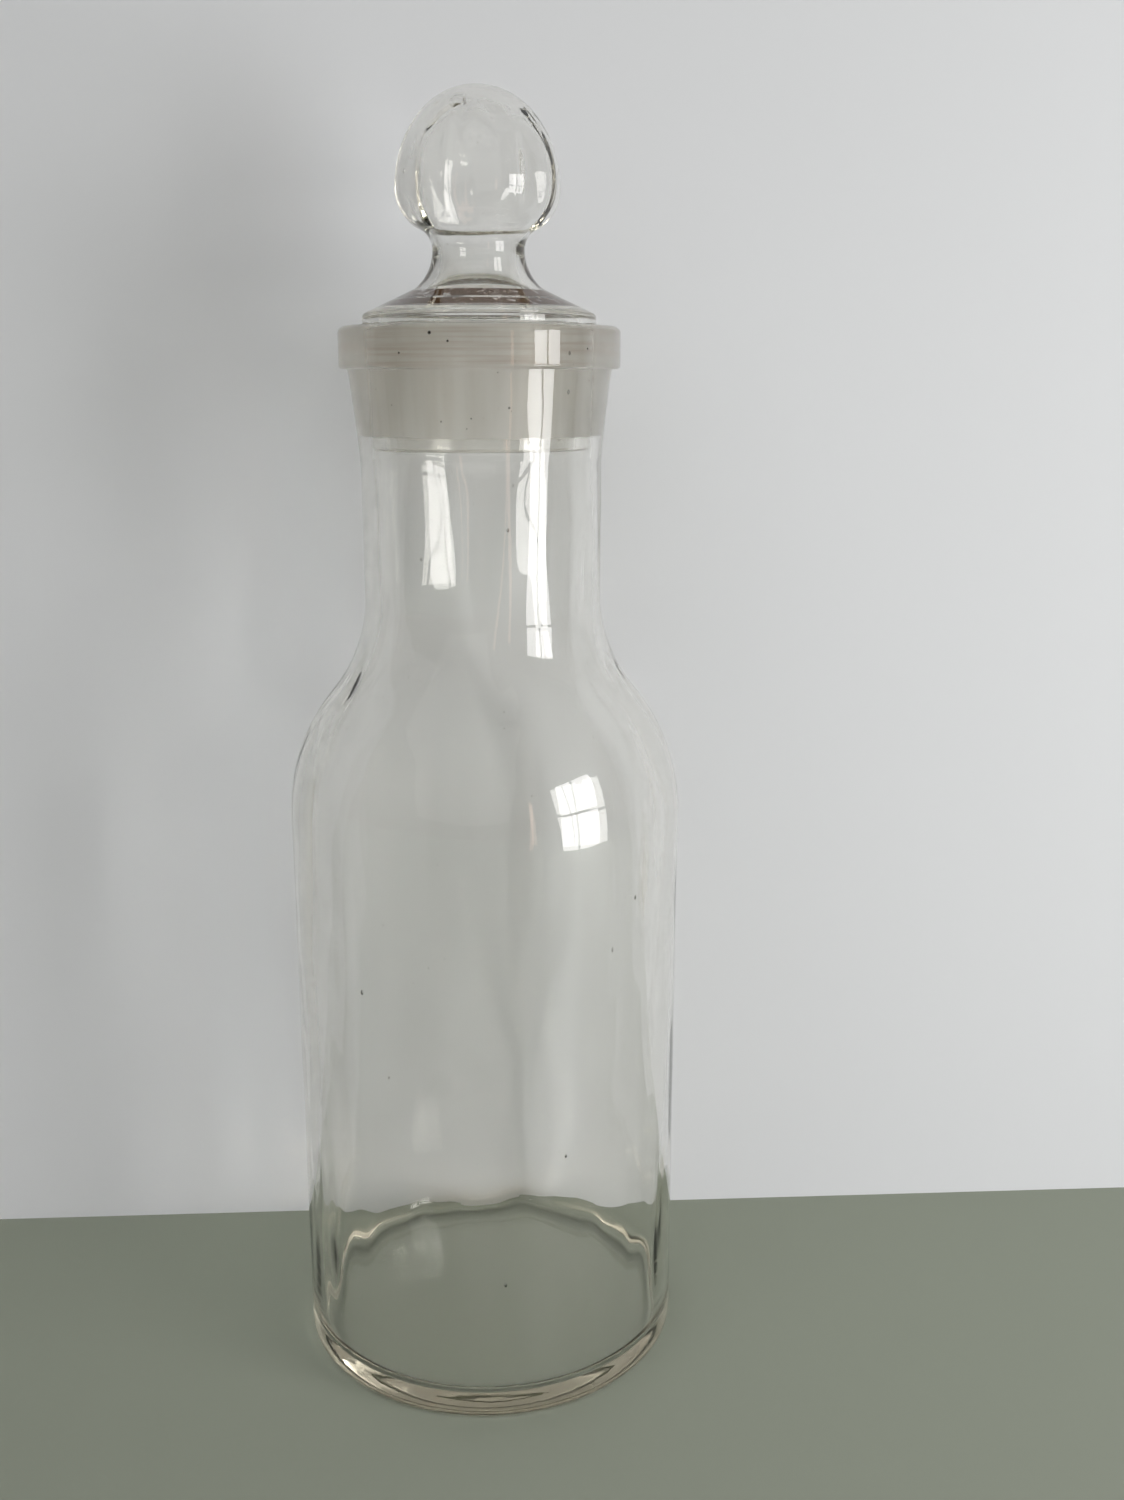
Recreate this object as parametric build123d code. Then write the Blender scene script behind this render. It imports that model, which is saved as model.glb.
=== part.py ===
from build123d import *
import math
import os

# Apothecary jar: a mouth-blown jar of clear glass, and the hollow blown ball stopper
# that is ground to fit its mouth. Two pieces of glass and nothing else.
# Millimetres, +Z up, origin at the centre of the ring that the jar stands on.
# Both pieces are turned shapes, so each is drawn as a half section (radius, height).

# ---- jar ----
body_d = 100.0           # outside of the straight body
wall = 3.3               # glass of the body, the shoulder and the neck
shoulder_z = 146.7       # height where the straight body ends
shoulder_rise = 55.9     # height of the S-shaped shoulder
shoulder_share = 0.57    # part of that S that bends outwards
neck_d = 59.2            # outside of the neck
neck_rise = 32.4         # straight neck above the shoulder
socket_swell = 2.4       # how far the neck flares out around the ground seat, per side
socket_rise = 22.0       # height of that flare, up to the lip
flare_round = 60.0       # bend between the straight neck and the flare
lip_step = 2.0           # how far the tooled lip stands out from the socket
lip_h = 10.0
lip_round_top = 1.8
lip_round_low = 0.9
mouth_round = 0.5        # softened inner edge of the mouth

# ---- base of the jar ----
heel_round = 3.5         # outside corner between body and base
ring_w = 6.5             # flat ring that the jar rests on
push_up = 2.2            # rise of the hollow under the base
base_t = 5.0             # glass of the base
floor_round = 4.5        # inside corner between floor and wall

# ---- ground seat, and the plug's fit in it ----
seat_taper = 1 / 15      # change of diameter per length
seat_spare = 2.0         # how far the ground seat runs on below the plug
grind_step = 0.2         # how far the grinding cut into the neck's bore, per side
fit_gap = 0.05           # radial clearance between plug and seat
flange_gap = 0.5         # the taper seats first, so the flange stays off the lip

# ---- stopper ----
plug_len = 29.0          # plug below the flange
plug_wall = 3.6          # glass of the hollow plug
plug_round = 0.9         # fire-polished edge at the plug's open end
flange_overhang = 0.6    # flange beyond the plug, per side
flange_edge = 2.2        # thickness at the flange's rim
flange_round = 1.3       # rounding of the rim's upper edge
stem_d = 22.0            # narrowest part, between flange and knob
stem_rise = 17.0         # from the flange's underside up to the narrowest part
foot_spread = 4.6        # how far the stem's foot sweeps out over the flange
slope_rise = 5.8         # height of that foot above the flange's rim
knob_d = 39.2            # widest part of the ball
knob_rise = 13.7         # from the narrowest part of the stem up to the widest part
knob_crown = 22.9        # from the widest part up to the top
knob_share = 0.65        # part of the S under the knob that bends outwards
crown_share = 0.9        # bend of the crown's top, as part of the knob's radius
knob_wall = 4.0          # glass of the hollow ball
stem_wall = 2.1          # glass where the passage through the stem is narrowest
passage_drop = 3.0       # how far that narrowest place lies below the stem's own
passage_share = 0.5      # part of the passage's upper S that bends outwards
foot_t = 4.5             # glass under the stem's foot, measured upright
ceiling_t = 2.0          # glass over the edge of the plug's bore, measured upright
ceiling_round = 1.5      # corner between the plug's bore and its ceiling

# ---- heights and radii that follow ----
body_r = body_d / 2
neck_r = neck_d / 2
socket_r = neck_r + socket_swell
lip_r = socket_r + lip_step
neck_z = shoulder_z + shoulder_rise
flare_z = neck_z + neck_rise
lip_z = flare_z + socket_rise
mouth_z = lip_z + lip_h
ring_r = body_r - heel_round - ring_w
bore_r = neck_r - wall
flange_z = mouth_z + flange_gap
plug_z = flange_z - plug_len
seat_z = plug_z - seat_spare
rim_z = flange_z + flange_edge
stem_r = stem_d / 2
stem_z = flange_z + stem_rise
foot_r = stem_r + foot_spread
foot_z = rim_z + slope_rise
knob_r = knob_d / 2
knob_z = stem_z + knob_rise
past = 1.0               # how far a hollow is drawn beyond its open end


def seat_r(z):
    """Radius of the ground seat at height z."""
    return bore_r + grind_step + (z - seat_z) * seat_taper / 2


def plug_r(z):
    """Radius of the ground plug at height z."""
    return seat_r(z) - fit_gap


def s_curve(start, end, share, inset=0.0):
    """Two tangent arcs from one upright wall to another, moved in by inset."""
    wide, slim = (start, end) if start[0] > end[0] else (end, start)
    step, rise = wide[0] - slim[0], slim[1] - wide[1]
    both = (rise**2 + step**2) / (2 * step)
    outward, inward = share * both, (1 - share) * both
    turn = math.copysign(math.degrees(math.acos(1 - step / both)), rise)
    bends = [
        ((wide[0] - outward, wide[1]), outward - inset, 0, turn),
        ((slim[0] + inward, slim[1]), inward + inset, 180 + turn, 180),
    ]
    if start is slim:
        bends = [(centre, radius, b, a) for centre, radius, a, b in reversed(bends)]
    return [CenterArc(centre, radius, a, b - a) for centre, radius, a, b in bends]


def dome(edge_r, edge_z, rise):
    """Shallow arc from the axis out to edge_r, higher by rise at the axis."""
    radius = (edge_r**2 + rise**2) / (2 * rise)
    spread = math.degrees(math.asin(edge_r / radius))
    return CenterArc((0, edge_z + rise - radius), radius, 90, -spread)


def outline(*steps):
    """Face bounded by curves and (radius, height) points, joined in order by lines."""
    ends = [(s @ 0, s @ 1) if isinstance(s, Edge) else (Vector(s), Vector(s)) for s in steps]
    edges = [s for s in steps if isinstance(s, Edge)]
    for (_, leave), (arrive, _) in zip(ends, ends[1:] + ends[:1]):
        if (arrive - leave).length > 1e-6:
            edges.append(Line(leave, arrive))
    return make_face(edges)


def rounded(face, *corners):
    """The face with a round at each (radius, height, size of round)."""
    for r, z, size in corners:
        face = fillet(face.vertices().sort_by_distance((r, z, 0))[:1], size)
    return face


def turned(section):
    """Solid made by turning a half section about the jar's axis."""
    return revolve(Plane.XZ * section, Axis.Z, 360)


def jar_body():
    """Body, shoulder, neck, socket and lip: one blown piece, ground inside its mouth."""
    shoulder = (body_r, shoulder_z), (neck_r, neck_z), shoulder_share
    glass = outline(
        dome(ring_r, 0, push_up),
        (body_r, 0),
        *s_curve(*shoulder),
        (neck_r, flare_z),
        (socket_r, lip_z),
        (lip_r, lip_z),
        (lip_r, mouth_z),
        (0, mouth_z),
    )
    glass = rounded(
        glass,
        (body_r, 0, heel_round),
        (neck_r, flare_z, flare_round),
        (lip_r, lip_z, lip_round_low),
        (lip_r, mouth_z, lip_round_top),
    )
    hollow = outline(
        dome(body_r - wall, base_t, push_up),
        *s_curve(*shoulder, inset=wall),
        (bore_r, seat_z),
        (seat_r(seat_z), seat_z),
        (seat_r(mouth_z), mouth_z),
        (seat_r(mouth_z), mouth_z + past),
        (0, mouth_z + past),
    )
    hollow = rounded(hollow, (body_r - wall, base_t, floor_round))
    section = rounded(glass - hollow, (seat_r(mouth_z), mouth_z, mouth_round))
    return turned(section)


def crown(inset):
    """Two tangent arcs from the knob's widest part over its top, moved in by inset."""
    top_r = crown_share * knob_r
    lift = knob_crown - top_r
    side_r = (knob_r**2 + lift**2 - top_r**2) / (2 * (knob_r - top_r))
    lean = math.degrees(math.atan2(lift, side_r - knob_r))
    side = CenterArc((knob_r - side_r, knob_z), side_r - inset, 0, lean)
    top = CenterArc((0, knob_z + lift), top_r - inset, lean, 90 - lean)
    return side, top


def foot(low, high):
    """Arc from low up and in to high, where it stands upright."""
    step, rise = low[0] - high[0], high[1] - low[1]
    radius = (rise**2 + step**2) / (2 * step)
    turn = math.degrees(math.asin(rise / radius))
    return CenterArc((high[0] + radius, high[1]), radius, 180 + turn, -turn)


def stopper():
    """Ground plug, flange, stem and ball knob: one blown piece, open at the plug's end."""
    flange_r = plug_r(flange_z) + flange_overhang
    stem, passage = (stem_r, stem_z), (stem_r - stem_wall, stem_z - passage_drop)
    glass = outline(
        (0, plug_z),
        (plug_r(plug_z), plug_z),
        (plug_r(flange_z), flange_z),
        (flange_r, flange_z),
        (flange_r, rim_z),
        foot((foot_r, foot_z), stem),
        *s_curve(stem, (knob_r, knob_z), knob_share),
        *crown(0),
    )
    glass = rounded(glass, (plug_r(plug_z), plug_z, plug_round), (flange_r, rim_z, flange_round))
    bore_low_r, bore_top_r = plug_r(plug_z) - plug_wall, plug_r(flange_z) - plug_wall
    slope_z = rim_z + slope_rise * (flange_r - bore_top_r) / (flange_r - foot_r)
    hollow = outline(
        (0, plug_z - past),
        (bore_low_r, plug_z - past),
        (bore_low_r, plug_z),
        (bore_top_r, slope_z - ceiling_t),
        foot((foot_r, foot_z - foot_t), passage),
        *s_curve(passage, (knob_r - knob_wall, knob_z), passage_share),
        *crown(knob_wall),
    )
    hollow = rounded(hollow, (bore_top_r, slope_z - ceiling_t, ceiling_round))
    section = rounded(glass - hollow, (bore_low_r, plug_z, plug_round))
    return turned(section)


os.makedirs("parts", exist_ok=True)
export_step(jar_body(), "parts/jar_body.step")
export_step(stopper(), "parts/stopper.step")
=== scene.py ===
import bpy
import math
from mathutils import Matrix, Vector


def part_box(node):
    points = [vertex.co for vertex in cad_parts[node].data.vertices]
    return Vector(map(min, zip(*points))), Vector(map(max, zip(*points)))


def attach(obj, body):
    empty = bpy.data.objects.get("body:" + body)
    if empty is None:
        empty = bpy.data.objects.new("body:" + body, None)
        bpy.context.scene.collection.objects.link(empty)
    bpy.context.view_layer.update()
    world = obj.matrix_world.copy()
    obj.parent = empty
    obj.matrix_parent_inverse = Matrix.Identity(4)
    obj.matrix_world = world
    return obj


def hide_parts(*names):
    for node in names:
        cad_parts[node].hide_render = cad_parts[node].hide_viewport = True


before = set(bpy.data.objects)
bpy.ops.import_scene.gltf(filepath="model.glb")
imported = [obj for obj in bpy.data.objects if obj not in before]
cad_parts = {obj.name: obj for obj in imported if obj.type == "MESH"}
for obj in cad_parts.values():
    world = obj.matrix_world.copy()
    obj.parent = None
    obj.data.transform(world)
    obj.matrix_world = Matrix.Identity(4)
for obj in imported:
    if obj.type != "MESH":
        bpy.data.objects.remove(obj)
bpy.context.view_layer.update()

# Apothecary jar of clear glass with its hollow ball stopper, ground to fit the mouth.
# Two blown pieces, each drawn as a half section (radius, height) with a pen that
# extrudes and spins one point, and then spun about the jar's axis. Metres, +Z up.
MM = 0.001

jar_low, jar_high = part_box("jar_body")
stopper_low, stopper_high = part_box("stopper")

# ---- jar: the box of its CAD node, and the sizes that its section adds ----
body_r = jar_high.x
mouth_z = jar_high.z
wall = 3.3 * MM
shoulder_z = 146.7 * MM
shoulder_rise = 55.9 * MM
shoulder_share = 0.57
neck_r = 29.6 * MM
neck_rise = 32.4 * MM
socket_r = neck_r + 2.4 * MM
flare_round = 60.0 * MM
lip_r = socket_r + 2.0 * MM
lip_h = 10.0 * MM
lip_round_top = 1.8 * MM
lip_round_low = 0.9 * MM
mouth_round = 0.5 * MM
heel_round = 3.5 * MM
ring_w = 6.5 * MM
push_up = 2.2 * MM
base_t = 5.0 * MM
floor_round = 4.5 * MM

# ---- stopper ----
top_z = stopper_high.z
flange_r = stopper_high.x
plug_z = stopper_low.z
plug_len = 29.0 * MM
plug_wall = 3.6 * MM
plug_round = 0.9 * MM
flange_edge = 2.2 * MM
flange_round = 1.3 * MM
flange_overhang = 0.6 * MM
stem_r = 11.0 * MM
stem_rise = 17.0 * MM
foot_spread = 4.6 * MM
slope_rise = 5.8 * MM
knob_r = 19.6 * MM
knob_crown = 22.9 * MM
knob_share = 0.65
crown_share = 0.9
knob_wall = 4.0 * MM
passage_r = stem_r - 2.1 * MM
passage_drop = 3.0 * MM
passage_share = 0.5
foot_t = 4.5 * MM
ceiling_t = 2.0 * MM
ceiling_round = 1.5 * MM

# ---- ground seat ----
seat_taper = 1 / 30                      # change of radius per height
seat_spare = 2.0 * MM
fit_gap = 0.05 * MM
clear_heel = 3.0 * MM                    # plug's end that the grinding never reached

# ---- marks of the blowing ----
base_fade = 30.0 * MM                    # height over which the walls turn wavy above the base
seat_fade = 8.0 * MM                     # height over which the bore turns true below the seat
lip_fade = 3.0 * MM                      # the same for the outside, below the lip
cavity_move = (0.9 * MM, 0.2 * MM, 0.0)  # how far the ball's cavity sits off the axis
cavity_low = 4.0 * MM                    # how far the moved part reaches below the widest part
cavity_reach = 14.0 * MM                 # the glass around it follows, less and less, this far
cavity_skin = 1.6 * MM                   # glass of the ball that the cavity's waves never enter
throat_calm = 4.0 * MM                   # height above the stem that stays free of waves
throat_fade = 8.0 * MM                   # height over which the waves then set in

# ---- studio ----
backdrop_y = 51.5 * MM                   # backdrop close behind the jar, and clear of it
camera_y = -375.6 * MM
camera_z = 256.1 * MM
camera_down = 14.1                       # degrees below level
camera_left = -3.03                      # degrees off the jar's axis

# ---- heights and radii that follow ----
neck_z = shoulder_z + shoulder_rise
flare_z = neck_z + neck_rise
lip_z = mouth_z - lip_h
bore_r = neck_r - wall
ring_r = body_r - heel_round - ring_w
flange_z = plug_z + plug_len
seat_z = plug_z - seat_spare
rim_z = flange_z + flange_edge
stem_z = flange_z + stem_rise
foot_r = stem_r + foot_spread
foot_z = rim_z + slope_rise
slope_lean = slope_rise / (flange_r - foot_r)
knob_z = top_z - knob_crown

# ---- mesh density ----
ARC_STEP = math.radians(5)               # turn of the section's arcs per step
LINE_STEP = 3.5 * MM                     # length of a step on the section's straight walls
TURNS = 180                              # steps round the axis


def plug_r(z):
    """Radius of the ground plug at height z."""
    return flange_r - flange_overhang - (flange_z - z) * seat_taper


def seat_r(z):
    """Radius of the ground seat at height z."""
    return plug_r(z) + fit_gap


def socket_at(z):
    """Radius of the flared outside around the ground seat at height z."""
    return neck_r + (socket_r - neck_r) * (z - flare_z) / (lip_z - flare_z)


# =====================================================================  drawing a section
class Arc:
    """Arc of a half section: centre (radius, height), size, and the angles it runs between."""

    def __init__(self, centre, size, start, end):
        self.centre, self.size, self.start, self.end = Vector(centre), size, start, end

    def at(self, angle):
        return self.centre + self.size * Vector((math.cos(angle), math.sin(angle)))


def s_curve(wide, slim, share, inset=0.0):
    """Two tangent arcs from an upright wide wall to an upright slim one, moved in by inset."""
    step, rise = wide[0] - slim[0], slim[1] - wide[1]
    both = (rise**2 + step**2) / (2 * step)
    outward, inward = share * both, (1 - share) * both
    turn = math.copysign(math.acos(1 - step / both), rise)
    return [
        Arc((wide[0] - outward, wide[1]), outward - inset, 0, turn),
        Arc((slim[0] + inward, slim[1]), inward + inset, math.pi + turn, math.pi),
    ]


def backwards(arcs):
    """The same arcs, drawn from their other end."""
    return [Arc(a.centre, a.size, a.end, a.start) for a in reversed(arcs)]


def corner(before, point, after, size):
    """Arc that rounds the corner at point, between the straight lines from before and to after."""
    point = Vector(point)
    back, on = (Vector(before) - point).normalized(), (Vector(after) - point).normalized()
    half = back.angle(on) / 2
    centre = point + (back + on).normalized() * size / math.sin(half)
    starts = point + back * size / math.tan(half) - centre
    ends = point + on * size / math.tan(half) - centre
    start, end = math.atan2(starts.y, starts.x), math.atan2(ends.y, ends.x)
    end = start + (end - start + math.pi) % (2 * math.pi) - math.pi
    return Arc(centre, size, start, end)


def dome(edge_r, edge_z, rise):
    """Shallow arc from edge_r in to the axis, higher by rise at the axis."""
    size = (edge_r**2 + rise**2) / (2 * rise)
    spread = math.asin(edge_r / size)
    return Arc((0, edge_z + rise - size), size, math.pi / 2 - spread, math.pi / 2)


def new_point(name, place):
    """A plane merged to one point, which is the pen's first point."""
    bpy.ops.object.select_all(action="DESELECT")
    bpy.ops.mesh.primitive_plane_add(size=1 * MM, location=(place[0], 0, place[1]))
    bpy.ops.object.transform_apply(location=True)
    piece = bpy.context.object
    piece.name = name
    bpy.ops.object.mode_set(mode="EDIT")
    bpy.ops.mesh.merge(type="CENTER")
    return piece


def draw_line(start, end):
    """Extrudes the pen's point in even steps to end."""
    count = max(1, round((end - start).length / LINE_STEP))
    move = (end - start) / count
    for _ in range(count):
        bpy.ops.mesh.extrude_vertices_move(TRANSFORM_OT_translate={"value": (move.x, 0, move.y)})


def draw_arc(arc):
    """Spins the pen's point along the arc."""
    turn = arc.end - arc.start
    bpy.ops.mesh.spin(
        steps=max(2, round(abs(turn) / ARC_STEP), round(abs(turn) * arc.size / LINE_STEP)),
        angle=turn,
        center=(arc.centre.x, 0, arc.centre.y),
        axis=(0, 1, 0),
    )


def turned(name, *steps):
    """Piece whose half section runs through the points and arcs, spun about the axis."""
    first = steps[0]
    pen = first.at(first.start) if isinstance(first, Arc) else Vector(first)
    piece = new_point(name, pen)
    for step in steps:
        start = step.at(step.start) if isinstance(step, Arc) else Vector(step)
        if (start - pen).length > 1e-7:
            draw_line(pen, start)
        pen = start
        if isinstance(step, Arc):
            draw_arc(step)
            pen = step.at(step.end)
    bpy.ops.mesh.select_all(action="SELECT")
    bpy.ops.mesh.spin(steps=TURNS, angle=2 * math.pi, center=(0, 0, 0), axis=(0, 0, 1))
    bpy.ops.mesh.select_all(action="SELECT")
    bpy.ops.mesh.remove_doubles(threshold=1e-6)
    bpy.ops.mesh.normals_make_consistent(inside=False)
    bpy.ops.object.mode_set(mode="OBJECT")
    bpy.ops.object.shade_smooth_by_angle(angle=math.radians(35))
    return piece


# =====================================================================  the two pieces
def jar_body():
    """Body, shoulder, neck, socket and lip, with the ground seat inside the mouth."""
    inner_r = body_r - wall
    floor = dome(inner_r, base_t, push_up)
    round_r = inner_r - floor_round
    round_z = floor.centre.y + math.sqrt((floor.size + floor_round) ** 2 - round_r**2)
    lean = math.asin(round_r / (floor.size + floor_round))
    floor.start = math.pi / 2 - lean
    seat_top = (seat_r(mouth_z), mouth_z)
    shoulder = (body_r, shoulder_z), (neck_r, neck_z), shoulder_share
    return turned(
        "jar_glass",
        *backwards([dome(ring_r, 0, push_up)]),
        corner((ring_r, 0), (body_r, 0), (body_r, mouth_z), heel_round),
        *s_curve(*shoulder),
        corner((neck_r, neck_z), (neck_r, flare_z), (socket_r, lip_z), flare_round),
        (socket_r, lip_z),
        corner((socket_r, lip_z), (lip_r, lip_z), (lip_r, mouth_z), lip_round_low),
        corner((lip_r, lip_z), (lip_r, mouth_z), (0, mouth_z), lip_round_top),
        corner((lip_r, mouth_z), seat_top, (seat_r(seat_z), seat_z), mouth_round),
        (seat_r(seat_z), seat_z),
        (bore_r, seat_z),
        *backwards(s_curve(*shoulder, inset=wall)),
        Arc((round_r, round_z), floor_round, 0, -math.pi / 2 - lean),
        floor,
    )


def crown(inset):
    """Two tangent arcs from the knob's top down its side to its widest part, moved in."""
    top_size = crown_share * knob_r
    lift = knob_crown - top_size
    side_size = (knob_r**2 + lift**2 - top_size**2) / (2 * (knob_r - top_size))
    lean = math.atan2(lift, side_size - knob_r)
    return [
        Arc((0, knob_z + lift), top_size - inset, math.pi / 2, lean),
        Arc((knob_r - side_size, knob_z), side_size - inset, lean, 0),
    ]


def foot(high, low):
    """Arc from high, where it stands upright, down and out to low."""
    step, rise = low[0] - high[0], high[1] - low[1]
    size = (rise**2 + step**2) / (2 * step)
    return Arc((high[0] + size, high[1]), size, -math.pi, math.asin(rise / size) - math.pi)


def stopper():
    """Ground plug, flange, stem and ball knob, blown hollow and open at the plug's end."""
    stem, passage = (stem_r, stem_z), (passage_r, stem_z - passage_drop)
    slope_top, slope_low = (foot_r, foot_z), (flange_r, rim_z)
    heel, bore_low = (plug_r(plug_z), plug_z), (plug_r(plug_z) - plug_wall, plug_z)
    bore_r_top = plug_r(flange_z) - plug_wall
    slope_z = rim_z + slope_lean * (flange_r - bore_r_top)
    ceiling, hollow_foot = (bore_r_top, slope_z - ceiling_t), (foot_r, foot_z - foot_t)
    hollow = [
        *crown(knob_wall),
        *s_curve((knob_r - knob_wall, knob_z), passage, passage_share),
        foot(passage, hollow_foot),
    ]
    return turned(
        "stopper_glass",
        *crown(0),
        *s_curve((knob_r, knob_z), stem, knob_share),
        foot(stem, slope_top),
        corner(slope_top, slope_low, (flange_r, 0), flange_round),
        (flange_r, flange_z),
        (plug_r(flange_z), flange_z),
        corner((plug_r(flange_z), flange_z), heel, (0, plug_z), plug_round),
        corner(heel, bore_low, ceiling, plug_round),
        corner(bore_low, ceiling, hollow_foot, ceiling_round),
        *backwards(hollow),
    )


# =====================================================================  marks of the blowing
def weights(piece, name, share):
    """Vertex group whose weight at each point is share(radius, height, faces the axis)."""
    group = piece.vertex_groups.new(name=name)
    for point in piece.data.vertices:
        flat = Vector((point.co.x, point.co.y, 0))
        weight = share(flat.length, point.co.z, point.normal.dot(flat) < 0)
        if weight > 0:
            group.add([point.index], min(1.0, weight), "REPLACE")


def sag(piece, group, depth, lean, size, stretch, start):
    """Waves of a hand-blown wall: noise of the given size, drawn out along the axis.

    They go depth deep, and lean is the part of that which stays outside the drawn line.
    """
    bpy.ops.object.empty_add(location=start)
    ruler = bpy.context.object
    ruler.scale = (size, size, size * stretch)
    bpy.context.view_layer.update()
    waves = bpy.data.textures.new(f"{group}_waves", "CLOUDS")
    waves.noise_scale = 1.0
    waves.noise_depth = 1
    press = piece.modifiers.new("sag", "DISPLACE")
    press.texture = waves
    press.texture_coords = "OBJECT"
    press.texture_coords_object = ruler
    press.vertex_group = group
    press.strength = depth
    press.mid_level = lean
    bpy.ops.object.select_all(action="DESELECT")
    piece.select_set(True)
    bpy.context.view_layer.objects.active = piece
    bpy.ops.object.modifier_apply(modifier=press.name)
    bpy.data.objects.remove(ruler)


def seed_bubbles(piece, places):
    """Small air bubbles in the glass, each (radius, azimuth, height, size), drawn out upwards."""
    for radius, azimuth, height, size in places:
        turn = math.radians(azimuth)
        place = (radius * math.sin(turn), -radius * math.cos(turn), height)
        bpy.ops.object.select_all(action="DESELECT")
        bpy.ops.mesh.primitive_ico_sphere_add(subdivisions=3, radius=size / 2, location=place)
        bpy.context.object.scale = (1.0, 1.0, 1.8)
        bpy.ops.object.transform_apply(location=True, scale=True)
        bpy.ops.object.mode_set(mode="EDIT")
        bpy.ops.mesh.select_all(action="SELECT")
        bpy.ops.transform.vertex_random(offset=size / 20, seed=len(piece.data.vertices))
        bpy.ops.mesh.flip_normals()
        bpy.ops.object.mode_set(mode="OBJECT")
        bpy.ops.object.shade_smooth()
        piece.select_set(True)
        bpy.context.view_layer.objects.active = piece
        bpy.ops.object.join()


def shift_cavity(piece, move):
    """Slides the ball's cavity off the axis, as in a ball blown a little lopsided."""
    bpy.ops.object.select_all(action="DESELECT")
    piece.select_set(True)
    bpy.context.view_layer.objects.active = piece
    bpy.ops.object.mode_set(mode="EDIT")
    bpy.ops.mesh.select_mode(type="VERT")
    bpy.ops.mesh.select_all(action="DESELECT")
    bpy.ops.object.mode_set(mode="OBJECT")
    for point in piece.data.vertices:
        flat = Vector((point.co.x, point.co.y, point.co.z - knob_z))
        point.select = point.co.z > knob_z - cavity_low and point.normal.dot(flat) < 0
    bpy.ops.object.mode_set(mode="EDIT")
    bpy.ops.transform.translate(
        value=move, use_proportional_edit=True, use_proportional_connected=True,
        proportional_edit_falloff="SMOOTH", proportional_size=cavity_reach,
    )
    bpy.ops.object.mode_set(mode="OBJECT")


# =====================================================================  materials
def linear(code):
    """Linear RGBA of an sRGB hex colour such as 'c8c6be'."""
    parts = [int(code[i:i + 2], 16) / 255 for i in (0, 2, 4)]
    return [p / 12.92 if p <= 0.04045 else ((p + 0.055) / 1.055) ** 2.4 for p in parts] + [1.0]


def add(tree, kind, inputs=None, **settings):
    """Adds a node with its settings, and fills or links its inputs: a node links by its first."""
    node = tree.nodes.new(kind)
    for name, value in settings.items():
        setattr(node, name, value)
    for name, value in (inputs or {}).items():
        if isinstance(value, bpy.types.Node):
            value = value.outputs[0]
        if isinstance(value, bpy.types.NodeSocket):
            tree.links.new(value, node.inputs[name])
        else:
            node.inputs[name].default_value = value
    return node


def new_material(name):
    """An empty node material and its tree."""
    material = bpy.data.materials.new(name)
    material.use_nodes = True
    material.node_tree.nodes.clear()
    return material, material.node_tree


def within(tree, *limits):
    """Mask that is full inside all the limits, each (value, where it is bare, where full)."""
    mask = 1.0
    for value, bare, full in limits:
        side = add(tree, "ShaderNodeMapRange", {"Value": value, "From Min": bare, "From Max": full})
        mask = add(tree, "ShaderNodeMath", {0: mask, 1: side}, operation="MULTIPLY")
    return mask


def clouds(tree, place, across, along, detail):
    """Uneven patches, each across wide and along tall, in metres."""
    grain = add(tree, "ShaderNodeMapping", {
        "Vector": place, "Scale": (1 / across, 1 / across, 1 / along),
    })
    return add(tree, "ShaderNodeTexNoise", {"Vector": grain, "Scale": 1.0, "Detail": detail})


def specks(tree, place, apart, stretch, size, share, start):
    """Mask of specks: apart from each other, drawn out upwards, on a share of the places."""
    grain = add(tree, "ShaderNodeMapping", {
        "Vector": place, "Location": start, "Scale": (1 / apart, 1 / apart, 1 / (apart * stretch)),
    })
    cells = add(tree, "ShaderNodeTexVoronoi", {"Vector": grain, "Scale": 1.0}).outputs
    lot = add(tree, "ShaderNodeSeparateColor", {"Color": cells["Color"]})
    drawn = add(tree, "ShaderNodeMath", {0: lot, 1: share}, operation="LESS_THAN")
    return within(tree, (cells["Distance"], size / apart, 0.5 * size / apart), (drawn, 0.0, 1.0))


def ground_zone(tree, place, height, radius, ground):
    """Frosted zone between two heights and two radii, its ends uneven by 0.3 mm."""
    low, high, inner, outer = ground
    fray = add(tree, "ShaderNodeMapRange", {
        "Value": clouds(tree, place, 5 * MM, 8 * MM, 5.0),
        "From Min": 0.3, "From Max": 0.7, "To Min": -0.3 * MM, "To Max": 0.3 * MM,
    })
    end = add(tree, "ShaderNodeMath", {0: height, 1: fray}, operation="ADD")
    return within(
        tree,
        (end, low, low + 0.5 * MM),
        (end, high + 0.3 * MM, high),
        (radius, inner, inner + 0.4 * MM),
        (radius, outer + 0.1 * MM, outer),
    )


def batch_stones(tree, place, stones):
    """Dark stones of unmelted batch, each (radius, azimuth, height, reach from its middle)."""
    dark = 0.0
    for radius, azimuth, height, reach in stones:
        turn = math.radians(azimuth)
        middle = (radius * math.sin(turn), -radius * math.cos(turn), height)
        off = add(tree, "ShaderNodeVectorMath", {0: place, 1: middle}, operation="DISTANCE")
        stone = within(tree, (off.outputs["Value"], reach, 0.6 * reach))
        dark = add(tree, "ShaderNodeMath", {0: stone, 1: dark}, operation="MAXIMUM")
    return dark


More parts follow.
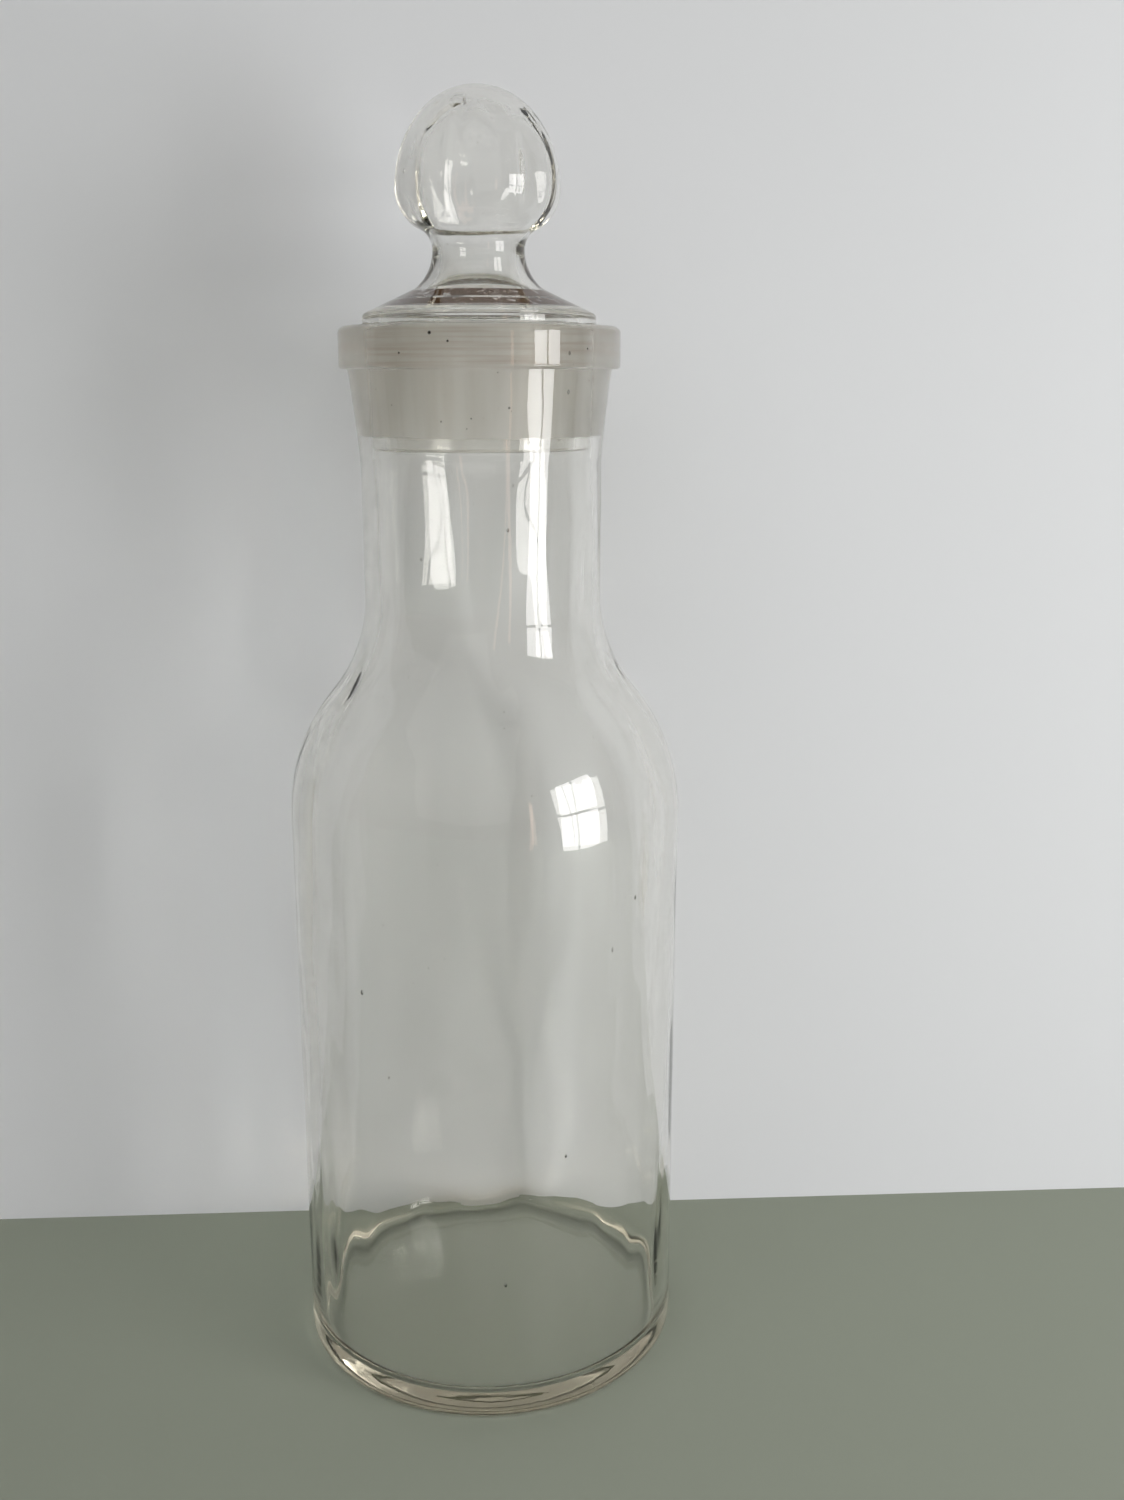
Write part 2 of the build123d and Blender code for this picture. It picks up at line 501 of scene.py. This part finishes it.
def painted_fold_shade(tree, place, height, radius, fold):
    """Painted shade on the flange's slope: a brown band between two radii, split by a clear line, that
    stands in for the dark room seen through the slope.

    It lies in a thin layer along the slope, and thins to half strength in 2.5 mm patches.
    """
    inner, line, outer = fold
    past_line = add(tree, "ShaderNodeMath", {0: radius, 1: line}, operation="SUBTRACT")
    off_line = add(tree, "ShaderNodeMath", {0: past_line}, operation="ABSOLUTE")
    level = add(tree, "ShaderNodeMath", {0: radius, 1: slope_lean, 2: height}, operation="MULTIPLY_ADD")
    skin = add(tree, "ShaderNodeMath", {
        0: level, 1: foot_z + foot_r * slope_lean,
    }, operation="SUBTRACT")
    band_patches = add(tree, "ShaderNodeMapRange", {
        "Value": clouds(tree, place, 2.5 * MM, 2.5 * MM, 5.0),
        "From Min": 0.32, "From Max": 0.42, "To Min": 0.5, "To Max": 1.0,
    })
    # painted shade: the brown band stands in for the dark room seen through the slope
    painted_band = within(
        tree,
        (radius, inner, inner + 0.4 * MM),
        (radius, outer, outer - 0.8 * MM),
        (off_line, 0.2 * MM, 0.5 * MM),
        (skin, -0.9 * MM, -0.5 * MM),
        (skin, 0.5 * MM, 0.2 * MM),
    )
    return add(tree, "ShaderNodeMath", {0: painted_band, 1: band_patches}, operation="MULTIPLY")


def blown_glass(name, ground, streaks, stones=(), fold=None):
    """Old mouth-blown soda-lime glass, fire-polished outside and ground matt where it seats.

    Iron in the batch gives thick glass a tan tint, by absorption. Grinding leaves a frosted,
    beige zone with a ragged edge. Years of use leave dust, a greasy haze and fine scratches.
    """
    material, tree = new_material(name)
    place = add(tree, "ShaderNodeTexCoord").outputs["Object"]
    split = add(tree, "ShaderNodeSeparateXYZ", {"Vector": place}).outputs
    height = split["Z"]
    flat = add(tree, "ShaderNodeCombineXYZ", {"X": split["X"], "Y": split["Y"]})
    radius = add(tree, "ShaderNodeVectorMath", {0: flat}, operation="LENGTH").outputs["Value"]

    # ground zone, shaded in upright strokes 3 mm wide
    matt = ground_zone(tree, place, height, radius, ground)
    strokes = add(tree, "ShaderNodeMapRange", {
        "Value": clouds(tree, place, 3 * MM, 60 * MM, 4.0),
        "From Min": 0.35, "From Max": 0.65, "To Min": 0.3, "To Max": 1.0,
    })
    shaded = add(tree, "ShaderNodeMath", {0: matt, 1: strokes}, operation="MULTIPLY")

    # wear: haze in 15 mm clouds, dust grains 0.3 mm across, upright scratches 0.2 mm wide
    haze = within(tree, (clouds(tree, place, 15 * MM, 40 * MM, 6.0), 0.45, 0.75))
    dust = specks(tree, place, 3.5 * MM, 1.2, 0.16 * MM, 0.35, (0, 0, 0))
    scratch = specks(tree, place, 7 * MM, 8.0, 0.1 * MM, 0.3, (3.1, 1.7, 0.4))
    dirt = add(tree, "ShaderNodeMath", {0: dust, 1: scratch}, operation="MAXIMUM")

    # tooling marks: level streaks a millimetre high around the lip
    streak = clouds(tree, place, 30 * MM, 0.9 * MM, 4.0)
    tooled = within(tree, (streak, 0.45, 0.65), (height, streaks, streaks + 1 * MM))

    # coats on the bare glass: where, how much it colours, how much light it stops, its colour
    coats = [
        (tooled, 0.8, 0.0, "dfd4ce"),
        (shaded, 1.0, 0.0, "e9e7e3"),
        (dirt, 0.6, 0.45, "b9b2a6"),
    ]
    if stones:
        coats.append((batch_stones(tree, place, stones), 1.0, 1.0, "1d1612"))
    # painted shade: a brown band on the flange's slope stands in for the dark room seen through the
    # glass
    if fold:
        coats.append((painted_fold_shade(tree, place, height, radius, fold), 1.0, 0.85, "4a3018"))
    colour, clear = linear("fdfdfc"), 1.0
    for coat, cover, stop, code in coats:
        share = add(tree, "ShaderNodeMath", {0: coat, 1: cover}, operation="MULTIPLY")
        colour = add(tree, "ShaderNodeMix", {
            "Factor": share, "A": colour, "B": linear(code),
        }, data_type="RGBA").outputs["Result"]
        passed = add(tree, "ShaderNodeMath", {0: coat, 1: -stop, 2: 1.0}, operation="MULTIPLY_ADD")
        clear = add(tree, "ShaderNodeMath", {0: clear, 1: passed}, operation="MULTIPLY")

    frosted = add(tree, "ShaderNodeMath", {0: matt, 1: 0.45}, operation="MULTIPLY")
    greasy = add(tree, "ShaderNodeMath", {0: haze, 1: 0.035}, operation="MULTIPLY")
    ripple = clouds(tree, place, 4 * MM, 9 * MM, 3.0)
    shader = add(tree, "ShaderNodeBsdfPrincipled", {
        "Base Color": colour,
        "Roughness": add(tree, "ShaderNodeMath", {0: frosted, 1: greasy}, operation="MAXIMUM"),
        "IOR": 1.52,
        "Transmission Weight": clear,
        "Normal": add(tree, "ShaderNodeBump", {
            "Height": ripple, "Strength": 0.4, "Distance": 0.02 * MM,
        }),
    })
    tint = add(tree, "ShaderNodeVolumeAbsorption", {"Color": linear("c8b872"), "Density": 7.5})
    add(tree, "ShaderNodeOutputMaterial", {"Surface": shader, "Volume": tint})
    return material


def matt_paint(name, code, one_sided=False):
    """Matt studio paint: plain, with no gloss of its own. One-sided, its back is clear."""
    material, tree = new_material(name)
    surface = add(tree, "ShaderNodeBsdfPrincipled", {"Base Color": linear(code), "Roughness": 0.9})
    if one_sided:
        back = add(tree, "ShaderNodeNewGeometry").outputs["Backfacing"]
        gone = add(tree, "ShaderNodeBsdfTransparent")
        surface = add(tree, "ShaderNodeMixShader", {0: back, 1: surface, 2: gone})
    add(tree, "ShaderNodeOutputMaterial", {"Surface": surface})
    return material


# =====================================================================  studio
def studio():
    """Pale floor, pale backdrop close behind the jar, and light from a window on the right."""
    bpy.ops.mesh.primitive_plane_add(size=6, location=(0, 0, 0))
    floor = bpy.context.object
    floor.name = "floor"
    floor.data.materials.append(matt_paint("matt_floor_paint", "8f9587"))
    bpy.ops.mesh.primitive_plane_add(
        size=6, location=(0, backdrop_y, 0), rotation=(math.pi / 2, 0, 0),
    )
    backdrop = bpy.context.object
    backdrop.name = "backdrop"
    backdrop.data.materials.append(matt_paint("matt_backdrop_paint", "e3e5e9", True))


def towards_jar(azimuth, elevation, distance, target):
    """Placing of a lamp that faces the target, seen from azimuth right of the camera."""
    a, e = math.radians(azimuth), math.radians(elevation)
    out = Vector((math.sin(a) * math.cos(e), -math.cos(a) * math.cos(e), math.sin(e)))
    return Matrix.Translation(target + out * distance) @ out.to_track_quat("Z", "Y").to_matrix().to_4x4()


def lamp(name, place, size, power, colour=(1.0, 1.0, 1.0)):
    """Rectangular soft lamp."""
    data = bpy.data.lights.new(name, "AREA")
    data.shape = "RECTANGLE"
    data.size, data.size_y = size
    data.energy = power
    data.color = colour
    light = bpy.data.objects.new(name, data)
    light.matrix_world = place
    bpy.context.scene.collection.objects.link(light)
    return light


def window(place, pane, rows, columns, gap, power):
    """Window of soft panes with dark bars between them."""
    for row in range(rows):
        for column in range(columns):
            side = (column - (columns - 1) / 2) * (pane[0] + gap)
            up = (row - (rows - 1) / 2) * (pane[1] + gap)
            shift = Matrix.Translation((side, up, 0))
            lamp(f"pane_{row}_{column}", place @ shift, pane, power, (1.0, 0.99, 0.98))


def room(horizon, ceiling):
    """Soft light from the rest of the room, dim at the horizon and brighter overhead."""
    world = bpy.data.worlds.new("room")
    bpy.context.scene.world = world
    world.use_nodes = True
    tree = world.node_tree
    tree.nodes.clear()
    towards = add(tree, "ShaderNodeTexCoord").outputs["Generated"]
    up = add(tree, "ShaderNodeSeparateXYZ", {"Vector": towards}).outputs["Z"]
    share = add(tree, "ShaderNodeMapRange", {"Value": up, "From Min": 0.0, "From Max": 0.8})
    colour = add(tree, "ShaderNodeMix", {
        "Factor": share, "A": linear(horizon), "B": linear(ceiling),
    }, data_type="RGBA")
    light = add(tree, "ShaderNodeBackground", {"Color": colour.outputs["Result"], "Strength": 1.0})
    add(tree, "ShaderNodeOutputWorld", {"Surface": light})


def camera():
    """Camera a little above the neck, looking down at the jar."""
    data = bpy.data.cameras.new("camera")
    data.lens, data.sensor_width, data.sensor_fit = 36, 36, "AUTO"
    view = bpy.data.objects.new("camera", data)
    view.location = (0, camera_y, camera_z)
    view.rotation_euler = (math.radians(90 - camera_down), 0, math.radians(camera_left))
    bpy.context.scene.collection.objects.link(view)
    bpy.context.scene.camera = view


def light_paths():
    """Enough bounces for light to pass both walls of both pieces."""
    cycles = bpy.context.scene.cycles
    cycles.max_bounces = 32
    cycles.transmission_bounces = 28
    cycles.glossy_bounces = 12
    cycles.diffuse_bounces = 4
    cycles.sample_clamp_indirect = 10
    cycles.blur_glossy = 0.0
    bpy.context.scene.view_settings.view_transform = "Standard"


# =====================================================================  build
jar = jar_body()
weights(jar, "inner_wall", lambda r, z, inner: (
    inner and min(1, (z - base_t - push_up) / base_fade, (seat_z - z) / seat_fade)
))
weights(jar, "outer_wall", lambda r, z, inner: (
    not inner and min(1, (z - heel_round) / base_fade, (lip_z - z) / lip_fade)
))
sag(jar, "inner_wall", depth=1.1 * MM, lean=0.5, size=14 * MM, stretch=5, start=(0.3, 0.1, 0))
sag(jar, "outer_wall", depth=-0.35 * MM, lean=0.0, size=10 * MM, stretch=3, start=(0.1, 0.5, 0.2))
seed_bubbles(jar, [
    (body_r - 1.6 * MM, -38, 0.112, 0.7 * MM), (body_r - 1.4 * MM, 22, 0.071, 0.5 * MM),
    (body_r - 1.8 * MM, 47, 0.133, 0.6 * MM), (body_r - 1.6 * MM, 131, 0.094, 0.8 * MM),
    (body_r - 1.5 * MM, -142, 0.052, 0.6 * MM), (body_r - 1.7 * MM, 4, 0.038, 0.6 * MM),
    (neck_r - 1.6 * MM, 12, 0.221, 0.5 * MM), (neck_r - 1.6 * MM, -30, 0.214, 0.4 * MM),
    (neck_r - 1.5 * MM, 160, 0.228, 0.5 * MM), (lip_r - 2 * MM, 38, 0.2605, 0.5 * MM),
    (socket_r - 1.8 * MM, 41, 0.252, 0.6 * MM),
])
jar.data.materials.append(blown_glass(
    "blown_clear_glass_ground_seat",
    ground=(plug_z + clear_heel, mouth_z - mouth_round, bore_r - 1 * MM, seat_r(mouth_z) + 0.3 * MM),
    streaks=lip_z,
    stones=[
        (lip_r, -19, 0.2648, 0.45 * MM), (lip_r, -12, 0.263, 0.3 * MM),
        (lip_r, -32, 0.2605, 0.3 * MM), (lip_r, 46, 0.2615, 0.3 * MM),
        (socket_at(0.2455), -17, 0.2455, 0.35 * MM),
        (socket_at(0.2462), -4, 0.2462, 0.3 * MM),
        (socket_at(0.2485), 12, 0.2485, 0.35 * MM),
        (socket_at(0.2478), 13, 0.2478, 0.25 * MM),
        (socket_at(0.2525), -50, 0.2525, 0.3 * MM),
    ],
))
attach(jar, "jar")
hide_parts("jar_body")

ball_stopper = stopper()
shift_cavity(ball_stopper, cavity_move)
weights(ball_stopper, "cavity_wall", lambda r, z, inner: (
    Vector((r, z - knob_z)).length < knob_r - cavity_skin
    and min(1, (z - stem_z - throat_calm) / throat_fade)
))
sag(ball_stopper, "cavity_wall", depth=2.4 * MM, lean=0.5, size=7 * MM, stretch=5, start=(0.7, 0.1, 0.4))
seed_bubbles(ball_stopper, [
    (knob_r - 2.2 * MM, 31, 0.2965, 0.5 * MM), (knob_r - 2 * MM, -64, 0.301, 0.6 * MM),
    (knob_r - 2 * MM, 150, 0.297, 0.5 * MM), (flange_r - 4 * MM, 25, 0.2695, 0.5 * MM),
])
ball_stopper.data.materials.append(blown_glass(
    "blown_clear_glass_ground_plug",
    ground=(plug_z + clear_heel, flange_z - 0.1 * MM, plug_r(plug_z) - 1.2 * MM, flange_r),
    streaks=top_z,
    # the brown band in the fold is painted shade that stands in for the dark room seen through the slope
    fold=(foot_r + 0.8 * MM, foot_r + 5.3 * MM, flange_r - 3 * MM),
))
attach(ball_stopper, "stopper")
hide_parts("stopper")

studio()
camera()
neck = Vector((0, 0, 0.2))
window(
    towards_jar(54, 2, 0.75, neck), pane=(0.135, 0.22), rows=2, columns=2, gap=0.02, power=0.74,
)
lamp("warm_door", towards_jar(25, 0, 0.9, neck), (0.035, 0.42), 0.1, (1.0, 0.68, 0.55))
body = Vector((0, 0, 0.15))
fill = lamp("fill", towards_jar(-15, 38, 1.6, body), (2.0, 2.0), 9.0, (0.98, 0.99, 1.0))
fill.visible_glossy = False
room("6e665c", "b4b3b3")
light_paths()
